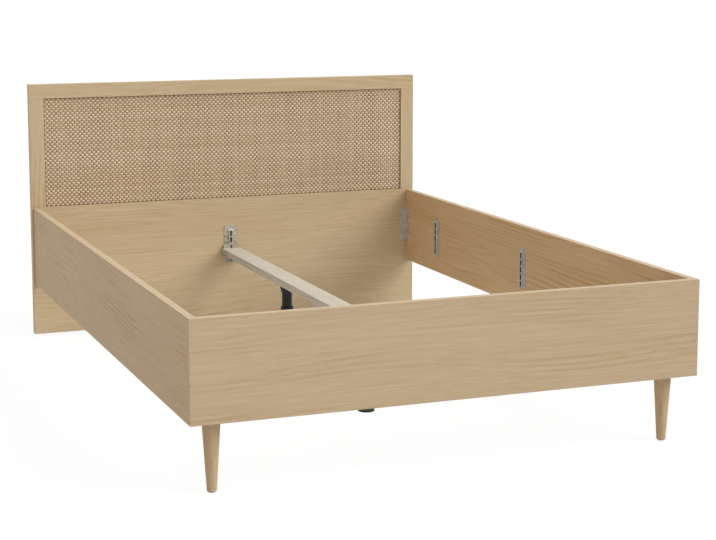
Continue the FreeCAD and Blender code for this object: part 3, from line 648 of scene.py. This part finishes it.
@dataclass
class Finishes:
    """Every finish of the bed but the cane, built once and shared by its sub-assemblies."""

    head_tones: Tones = ("#AD926C", "#BFAA8A", "#CEB999")
    foot_tones: Tones = ("#A58A66", "#B7A183", "#C4AF92")
    rail_tones: Tones = ("#A78862", "#B89F7E", "#C6AE8C")
    # Warmer tones of the rails' inside faces: painted warm bounce light.
    bounce_lit_inside_tones: Tones = ("#B59165", "#C8A981", "#D7B890")
    # Tone of the top faces: edge band, paler and greyer as painted light from above.
    band_and_top_light_tone: str = "#BAA98C"
    leg_tones: Tones = ("#A88B65", "#B99F7E", "#C6B090")
    pine_tones: Tones = ("#ABA494", "#BBB4A7", "#CAC4B9")
    beech_tones: Tones = ("#B08A66", "#C8A582", "#D9BC9C")

    def __post_init__(self) -> None:
        """Builds the materials."""
        # Oak decor paper on board: a printed, even grain with soft flames, silk matt to the eye.
        # The sheets differ a little in tone, and the rails' insides are painted warmest, as painted warm
        # bounce light, as in the photograph.
        self.oak_level = Timber("oak_decor_headboard", Grain.ACROSS, self.head_tones, streak_depth=0.60,
                                band_and_top_light=self.band_and_top_light_tone).build()
        self.oak_upright = Timber("oak_decor_stiles", Grain.UPRIGHT, self.head_tones).build()
        self.oak_foot = Timber("oak_decor_foot", Grain.ACROSS, self.foot_tones,
                               band_and_top_light=self.band_and_top_light_tone).build()
        self.oak_rail = Timber("oak_decor_rails", Grain.LENGTHWISE, self.rail_tones, streak_depth=0.80,
                               ring_depth=0.24, band_and_top_light=self.band_and_top_light_tone,
                               bounce_lit_inside_tones=self.bounce_lit_inside_tones).build()
        # Turned oak under clear matt lacquer: upright grain, about as warm as the rails.
        self.turned_oak = Timber("turned_oak", Grain.UPRIGHT, self.leg_tones, ring_mm=9.0, ring_depth=0.3,
                                 streak_mm=4.0, pore_depth=0.2).build()
        # Planed pine: pale and dry, with a faint yellow grain.
        self.pine = Timber("planed_pine", Grain.LENGTHWISE, self.pine_tones, ring_mm=14.0, ring_depth=0.22,
                           streak_mm=6.0, pore_depth=0.0, roughness=0.68).build()
        # Raw beech: pinkish brown with short flecks.
        self.beech = Timber("raw_beech", Grain.ACROSS, self.beech_tones, ring_mm=12.0, streak_mm=4.0,
                            roughness=0.65).build()
        # Hardboard: a dull, cloudy brown.
        self.hardboard = PressedFibre("hardboard", "#5E4630", "#7B5F45", mottle_mm=60.0).build()
        # Raw chipboard, seen only in holes and grooves: dark brown, darker than bare chipboard, with the
        # painted shade of the hollows.
        self.chipboard_and_shade = PressedFibre("raw_chipboard_painted_shade", "#2E241A", "#4A3B2B", mottle_mm=9.0).build()
        # Zinc plated steel: pale grey with a soft, cloudy shine.
        self.zinc = ZincPlate("zinc_plated_steel", "#AEAAA1", "#C7C2B8").build()
        # The beam's steel: the same plating, yellow passivated and duller.
        self.dull_zinc = ZincPlate("dull_zinc_plated_steel", "#A59E90", "#BDB6A6", roughness=0.6).build()
        # Glass-filled nylon: black, moulded, with a soft sheen.
        self.nylon = Moulded("black_nylon", "#0C0C0B", "#151514", sheen=0.3).build()
        # Moulded rubber: black and dull.
        self.rubber = Moulded("black_rubber", "#131314", "#1D1D1E", roughness=0.72).build()
        # Natural polyethylene: milky white and waxy.
        self.polyethylene = Moulded("white_polyethylene", "#DFDCD6", "#EAE8E3", roughness=0.4).build()


@dataclass
class Headboard:
    """Framed headboard with its field of woven cane."""

    finishes: Finishes
    columns: int = 165
    rows: int = 46
    warp_width: float = 8.15 * MM
    weft_width: float = 8.0 * MM
    peel: float = 1.4 * MM  # thickness of a strand
    shoulder: Pair = (0.86, 0.35)  # edge of a strand's dome, of half its width and half its thickness
    wave: float = 0.75 * MM  # from the middle of the weave to the middle of a strand
    flat_share: float = 0.28  # half of a strand's level stretch, of the pitch
    warp_tones: Tones = ("#7E6143", "#9A7D5E", "#B39876")
    weft_tones: Tones = ("#B69D7B", "#CFBA9C", "#E2D3BB")
    warp_bundle_depth: float = 0.5
    weft_bundle_depth: float = 0.15

    def profile(self, width: float) -> list[Pair]:
        """Section of a strand: flat behind and domed in front.

        Args:
            width: Width of the strand.

        Returns:
            Points as place across the strand and depth towards the front.
        """
        half, thick = width / 2, self.peel / 2
        side, rise = half * self.shoulder[0], thick * self.shoulder[1]
        return [(-half, -thick), (half, -thick), (side, rise), (0.0, thick), (-side, rise)]

    def course(self, line: int, upright: bool, crossings: int, start: float, pitch: float) -> list[Pair]:
        """Way of one strand over and under those that it crosses.

        Args:
            line: Number of the strand.
            upright: Whether it is an upright one.
            crossings: How many strands it crosses.
            start: Place where it starts.
            pitch: Distance from one crossing to the next.

        Returns:
            Place along the strand and depth towards the front, at both ends of each level stretch.
        """
        course = []
        for crossing in range(crossings):
            front = ((line + crossing) % 2 == 0) == upright
            depth = self.wave if front else -self.wave
            spot = start + (crossing + 0.5) * pitch
            before = 0.5 if crossing == 0 else self.flat_share
            after = 0.5 if crossing == crossings - 1 else self.flat_share
            course += [(spot - before * pitch, depth), (spot + after * pitch, depth)]
        return course

    def strand_mesh(self, strand: Strand) -> bpy.types.Mesh:
        """Weaves all the strands of one direction.

        Args:
            strand: Direction of the strands.

        Returns:
            Mesh with one closed tube for each strand.
        """
        low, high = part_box("rattan_panel")
        pitch = Vector(((high.x - low.x) / self.columns, 0, (high.z - low.z) / self.rows))
        middle = (low.y + high.y) / 2
        upright = strand is Strand.WARP
        count, crossings = (self.columns, self.rows) if upright else (self.rows, self.columns)
        across, along = (pitch.x, pitch.z) if upright else (pitch.z, pitch.x)
        base, start = (low.x, low.z) if upright else (low.z, low.x)
        section = self.profile(self.warp_width if upright else self.weft_width)
        sides = len(section)
        vertices, faces = [], []
        for line in range(count):
            centre = base + (line + 0.5) * across
            course = self.course(line, upright, crossings, start, along)
            at = len(vertices)
            for place, depth in course:
                for side, out in section:
                    x, z = (centre + side, place) if upright else (place, centre + side)
                    vertices.append((x, middle - depth - out, z))
            end = at + (len(course) - 1) * sides
            for ring in range(at, end, sides):
                for side in range(sides):
                    a, b = ring + side, ring + (side + 1) % sides
                    faces.append((a, b, b + sides, a + sides))
            faces.append(tuple(range(at, at + sides))[::-1])
            faces.append(tuple(range(end, end + sides)))
        mesh = bpy.data.meshes.new(f"rattan_{strand.value}")
        mesh.from_pydata(vertices, [], faces)
        work = bmesh.new()
        work.from_mesh(mesh)
        bmesh.ops.recalc_face_normals(work, faces=work.faces)
        work.to_mesh(mesh)
        work.free()
        mesh.shade_smooth()
        return mesh

    def build(self) -> None:
        """Weaves the cane field in place of its plain sheet."""
        low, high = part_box("rattan_panel")
        # Natural cane: the level strands are paler and the upright ones browner.
        peels = {
            Strand.WARP: ((high.x - low.x) / self.columns / MM, self.warp_tones, self.warp_bundle_depth),
            Strand.WEFT: ((high.z - low.z) / self.rows / MM, self.weft_tones, self.weft_bundle_depth),
        }
        for strand in Strand:
            mesh = self.strand_mesh(strand)
            mesh.materials.append(RattanPeel(f"rattan_{strand.value}_peel", strand, *peels[strand]).build())
            new_piece(f"rattan_{strand.value}", mesh, "frame", "rattan_panel")

    def dress(self) -> None:
        """Dresses the boards, the panel and the small parts."""
        dress("headboard_lower_board", self.finishes.oak_level)
        dress("headboard_top_rail", self.finishes.oak_level)
        dress("headboard_left_stile", self.finishes.oak_upright)
        dress("headboard_right_stile", self.finishes.oak_upright)
        dress("headboard_back_panel", self.finishes.hardboard)
        dress("headboard_panel_screws", self.finishes.zinc)
        dress("headboard_dowels", self.finishes.beech)
        dress("headboard_glides", self.finishes.polyethylene)


@dataclass
class SidesAndFoot:
    """Side rails and footboard with their corner angles and slotted plates."""

    finishes: Finishes
    plates: tuple[str, ...] = ("head", "middle", "foot")

    def dress(self) -> None:
        """Dresses boards, angles, plates and fixings."""
        dress("footboard", self.finishes.oak_foot)
        dress("rail_dowels", self.finishes.beech)
        dress("corner_angle_screws", self.finishes.zinc)
        dress("slat_strip_screws", self.finishes.zinc)
        for side in SIDES:
            dress(f"{side}_side_rail", self.finishes.oak_rail)
            # The rail's hollows get the chipboard core, painted dark as their shade.
            line_and_shade_hollows(f"{side}_side_rail", self.finishes.chipboard_and_shade)
            for end in ENDS:
                dress(f"{end}_{side}_corner_angle", self.finishes.zinc)
            for plate in self.plates:
                dress(f"{side}_{plate}_slat_strip", self.finishes.zinc)


@dataclass
class FrontLegs:
    """Turned front legs with the blocks that carry them."""

    finishes: Finishes

    def dress(self) -> None:
        """Dresses legs, blocks and fixings."""
        for side in SIDES:
            dress(f"front_{side}_leg", self.finishes.turned_oak)
            dress(f"{side}_leg_block", self.finishes.beech)
        dress("front_leg_glides", self.finishes.polyethylene)
        for node in ("leg_block_inserts", "leg_block_screws", "front_leg_hanger_bolts"):
            dress(node, self.finishes.zinc)


@dataclass
class CentreBeam:
    """Beam along the middle with its hangers and shoes."""

    finishes: Finishes

    def dress(self) -> None:
        """Dresses the beam and its steel."""
        dress("centre_beam", self.finishes.pine)
        dress("beam_hanger_screws", self.finishes.zinc)
        dress("beam_shoe_screws", self.finishes.zinc)
        for end in ENDS:
            dress(f"beam_{end}_hanger", self.finishes.dull_zinc)
            dress(f"beam_{end}_shoe", self.finishes.dull_zinc)


@dataclass
class CentreLeg:
    """Adjustable leg under the beam: tube, collar, threaded spindle and pad."""

    finishes: Finishes
    place: str
    thread_pitch: float = 5.0 * MM
    thread_depth: float = 1.3 * MM
    crest_shares: tuple[Pair, ...] = (  # height of each line of the thread, of the pitch, and its rise
        (0.0, 0.0), (0.22, 0.0), (0.42, 1.0), (0.58, 1.0), (0.78, 0.0),
    )
    lead_turns: int = 2  # wound below the lower end, to be trimmed
    spare_turns: int = 3  # wound in all beyond the spindle's length
    rim_gap: float = 0.001 * MM  # from a trimmed end's plane to what still counts as its rim
    stem_radius: float = 11.0 * MM
    guide_height: float = 10.0 * MM
    key_width: float = 4.0 * MM
    key_depth: float = 1.52 * MM  # beyond the guide
    around: int = 32  # steps in a turn
    sharp_angle: float = math.radians(35)  # a sharper edge than this isn't smoothed

    @property
    def stem(self) -> str:
        """Start of the names of this leg's nodes."""
        return f"{self.place}_centre_leg"

    def thread(self, work: bmesh.types.BMesh, centre: Vector, low: float, high: float) -> None:
        """Winds a right-hand trapezoid thread and trims it level at both ends.

        Args:
            work: Mesh that gets the thread.
            centre: Axis of the spindle.
            low: Height of the lower end.
            high: Height of the upper end.
        """
        turns = math.ceil((high - low) / self.thread_pitch) + self.spare_turns
        lines = []
        for step in range(turns * self.around + 1):
            angle = 2 * math.pi * step / self.around
            line = []
            for share, crest in self.crest_shares:
                radius = self.stem_radius - self.thread_depth * (1 - crest)
                x, y = centre.x + radius * math.cos(angle), centre.y + radius * math.sin(angle)
                height = low + self.thread_pitch * (step / self.around + share - self.lead_turns)
                line.append(work.verts.new((x, y, height)))
            lines.append(line)
        for step in range(len(lines) - 1):
            here, after = lines[step], lines[step + 1]
            for point in range(len(self.crest_shares) - 1):
                work.faces.new((here[point], after[point], after[point + 1], here[point + 1]))
            if step + 1 + self.around < len(lines):
                above, above_after = lines[step + self.around], lines[step + 1 + self.around]
                work.faces.new((here[-1], after[-1], above_after[0], above[0]))
        for height, up in ((low, -1), (high, 1)):
            parts = work.verts[:] + work.edges[:] + work.faces[:]
            bmesh.ops.bisect_plane(work, geom=parts, plane_co=(0, 0, height), plane_no=(0, 0, up),
                                   clear_outer=True)
            rim = []
            for edge in work.edges:
                level = all(abs(end.co.z - height) < self.rim_gap for end in edge.verts)
                if edge.is_boundary and level:
                    rim.append(edge)
            bmesh.ops.contextual_create(work, geom=rim)

    def guide(self, work: bmesh.types.BMesh, centre: Vector, low: float, high: float, radius: float) -> None:
        """Adds the keyed guide that slides in the tube.

        Args:
            work: Mesh that gets the guide.
            centre: Axis of the spindle.
            low: Height of its underside.
            high: Height of its top.
            radius: Its radius without the key.
        """
        half = self.key_width / 2
        edge = math.asin(half / radius)
        angles = [edge + (2 * math.pi - 2 * edge) * step / self.around for step in range(self.around + 1)]
        outline = [(radius * math.cos(a), radius * math.sin(a)) for a in angles]
        outline += [(radius + self.key_depth, -half), (radius + self.key_depth, half)]
        floors = [[work.verts.new((centre.x + x, centre.y + y, z)) for x, y in outline] for z in (low, high)]
        count = len(outline)
        for at in range(count):
            after = (at + 1) % count
            work.faces.new((floors[0][at], floors[0][after], floors[1][after], floors[1][at]))
        work.faces.new(floors[0][::-1])
        work.faces.new(floors[1])

    def build(self) -> None:
        """Builds the threaded spindle in place of its plain rod."""
        node = f"{self.stem}_spindle"
        low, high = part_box(node)
        centre = Vector((0.0, (low.y + high.y) / 2, 0.0))
        radius = -low.x  # on the side without the key
        shoulder = high.z - self.guide_height
        work = bmesh.new()
        self.thread(work, centre, low.z, shoulder)
        self.guide(work, centre, shoulder, high.z, radius)
        bmesh.ops.recalc_face_normals(work, faces=work.faces)
        mesh = bpy.data.meshes.new(f"{self.stem}_threaded_spindle")
        work.to_mesh(mesh)
        work.free()
        mesh.materials.append(self.finishes.nylon)
        mesh.shade_smooth()
        mesh.set_sharp_from_angle(angle=self.sharp_angle)
        new_piece(f"{self.stem}_threaded_spindle", mesh, f"{self.stem}_foot", node)

    def dress(self) -> None:
        """Dresses tube, collar and pad."""
        dress(f"{self.stem}_tube", self.finishes.nylon)
        dress(f"{self.stem}_collar", self.finishes.nylon)
        dress(f"{self.stem}_pad", self.finishes.rubber)


@dataclass(frozen=True)
class Softbox:
    """Large soft lamp far away."""

    name: str
    colour: str
    strength: float
    toward: tuple[float, float, float]  # from the bed to the lamp
    spread: float  # radians that the lamp fills, seen from the bed

    def build(self) -> None:
        """Hangs the lamp."""
        data = bpy.data.lights.new(self.name, "SUN")
        data.color = linear(self.colour)[:3]
        data.energy = self.strength
        data.angle = self.spread
        lamp = bpy.data.objects.new(self.name, data)
        lamp.rotation_euler = Vector(self.toward).to_track_quat("Z", "Y").to_euler()
        bpy.context.scene.collection.objects.link(lamp)


@dataclass
class Studio:
    """Pale floor, even white surroundings, two softboxes and the camera."""

    camera_place: tuple[float, float, float] = (-1.84377, -5.03665, 1.34165)
    camera_turn: float = 0.37175  # radians to the right of the bed's length
    camera_tilt: float = 0.13830  # radians below level
    focal_pixels: float = 1699.79
    axis_row: float = 200.0  # photograph row that the lens looks straight at
    sensor_mm: float = 36.0
    far_clip: float = 200.0
    floor_half: float = 60.0
    floor_drop: float = 0.2 * MM
    floor_albedo: float = 0.7  # what the bed gets back from the floor
    floor_glow: float = 0.9  # what the eye sees of it, besides the shade
    floor_shade: float = 0.10  # part of the floor that can go dark in a shadow
    fill_colour: str = "#FFF9F0"
    surroundings: float = 0.437
    backdrop_colour: str = "#FFFFFF"
    backdrop: float = 1.0
    key: Softbox = Softbox("key", "#FBFDFF", 2.14, (0.75, -0.55, 0.66), math.radians(40))
    overhead: Softbox = Softbox("overhead", "#FFFFFF", 1.41, (0.0, 0.0, 1.0), math.radians(90))

    def camera(self) -> None:
        """Places the camera as the photograph was taken."""
        data = bpy.data.cameras.new("camera")
        data.sensor_width = self.sensor_mm
        data.lens = self.focal_pixels / PHOTO_WIDTH * self.sensor_mm
        data.shift_y = (self.axis_row - PHOTO_HEIGHT / 2) / PHOTO_WIDTH
        data.clip_end = self.far_clip
        camera = bpy.data.objects.new("camera", data)
        camera.location = self.camera_place
        level, down = math.cos(self.camera_tilt), math.sin(self.camera_tilt)
        forward = Vector((math.sin(self.camera_turn) * level, math.cos(self.camera_turn) * level, -down))
        camera.rotation_euler = forward.to_track_quat("-Z", "Y").to_euler()
        bpy.context.scene.collection.objects.link(camera)
        bpy.context.scene.camera = camera

    def seen(self, tree: Tree) -> Socket:
        """Finds the rays that show the background.

        Args:
            tree: Node tree of the floor or the world.

        Returns:
            Socket that is 1 for camera, mirror and glass rays.
        """
        path = add_node(tree, "ShaderNodeLightPath")
        shown = path.outputs["Is Camera Ray"]
        for kind in ("Is Glossy Ray", "Is Transmission Ray"):
            either = add_node(tree, "ShaderNodeMath", {0: shown, 1: path.outputs[kind]}, operation="MAXIMUM")
            shown = either.outputs[0]
        return shown

    def floor(self) -> None:
        """Lays a pale floor that keeps the bed's shadow."""
        half = self.floor_half
        mesh = bpy.data.meshes.new("floor")
        corners = [(-half, -half, 0), (half, -half, 0), (half, half, 0), (-half, half, 0)]
        mesh.from_pydata(corners, [], [(0, 1, 2, 3)])
        floor = bpy.data.objects.new("floor", mesh)
        floor.location.z = -self.floor_drop
        bpy.context.scene.collection.objects.link(floor)
        # Studio floor: white to the eye, with a faint shadow under the bed.
        material = new_material("studio_floor")
        tree = material.node_tree
        plain = add_node(tree, "ShaderNodeBsdfDiffuse", {"Color": (self.floor_albedo,) * 3 + (1.0,)})
        shade = add_node(tree, "ShaderNodeBsdfDiffuse", {"Color": (self.floor_shade,) * 3 + (1.0,)})
        glow = add_node(tree, "ShaderNodeEmission", {"Strength": self.floor_glow})
        white = add_node(tree, "ShaderNodeAddShader", {0: shade.outputs[0], 1: glow.outputs[0]})
        sides = {0: self.seen(tree), 1: plain.outputs[0], 2: white.outputs[0]}
        mix = add_node(tree, "ShaderNodeMixShader", sides)
        add_node(tree, "ShaderNodeOutputMaterial", {"Surface": mix.outputs[0]})
        mesh.materials.append(material)

    def light(self) -> None:
        """Sets even surroundings, a soft key light from the front right and a wide softbox overhead."""
        world = bpy.data.worlds.new("studio")
        bpy.context.scene.world = world
        world.use_nodes = True
        tree = world.node_tree
        tree.nodes.clear()
        fill = add_node(tree, "ShaderNodeBackground", {
            "Color": linear(self.fill_colour), "Strength": self.surroundings,
        })
        white = add_node(tree, "ShaderNodeBackground", {
            "Color": linear(self.backdrop_colour), "Strength": self.backdrop,
        })
        sides = {0: self.seen(tree), 1: fill.outputs[0], 2: white.outputs[0]}
        mix = add_node(tree, "ShaderNodeMixShader", sides)
        add_node(tree, "ShaderNodeOutputWorld", {"Surface": mix.outputs[0]})
        for box in (self.key, self.overhead):
            box.build()

    def build(self) -> None:
        """Builds the studio."""
        self.camera()
        self.floor()
        self.light()
        bpy.context.scene.view_settings.view_transform = "Standard"
        LOG.info("set the studio")


def main() -> None:
    """Builds and dresses the bed, one sub-assembly after another."""
    logging.basicConfig(level=logging.INFO, format="%(name)s: %(message)s")
    finishes = Finishes()
    headboard = Headboard(finishes)
    headboard.build()
    headboard.dress()
    SidesAndFoot(finishes).dress()
    FrontLegs(finishes).dress()
    CentreBeam(finishes).dress()
    for place in ENDS:
        leg = CentreLeg(finishes, place)
        leg.build()
        leg.dress()
    Studio().build()


if __name__ == "__main__":
    main()
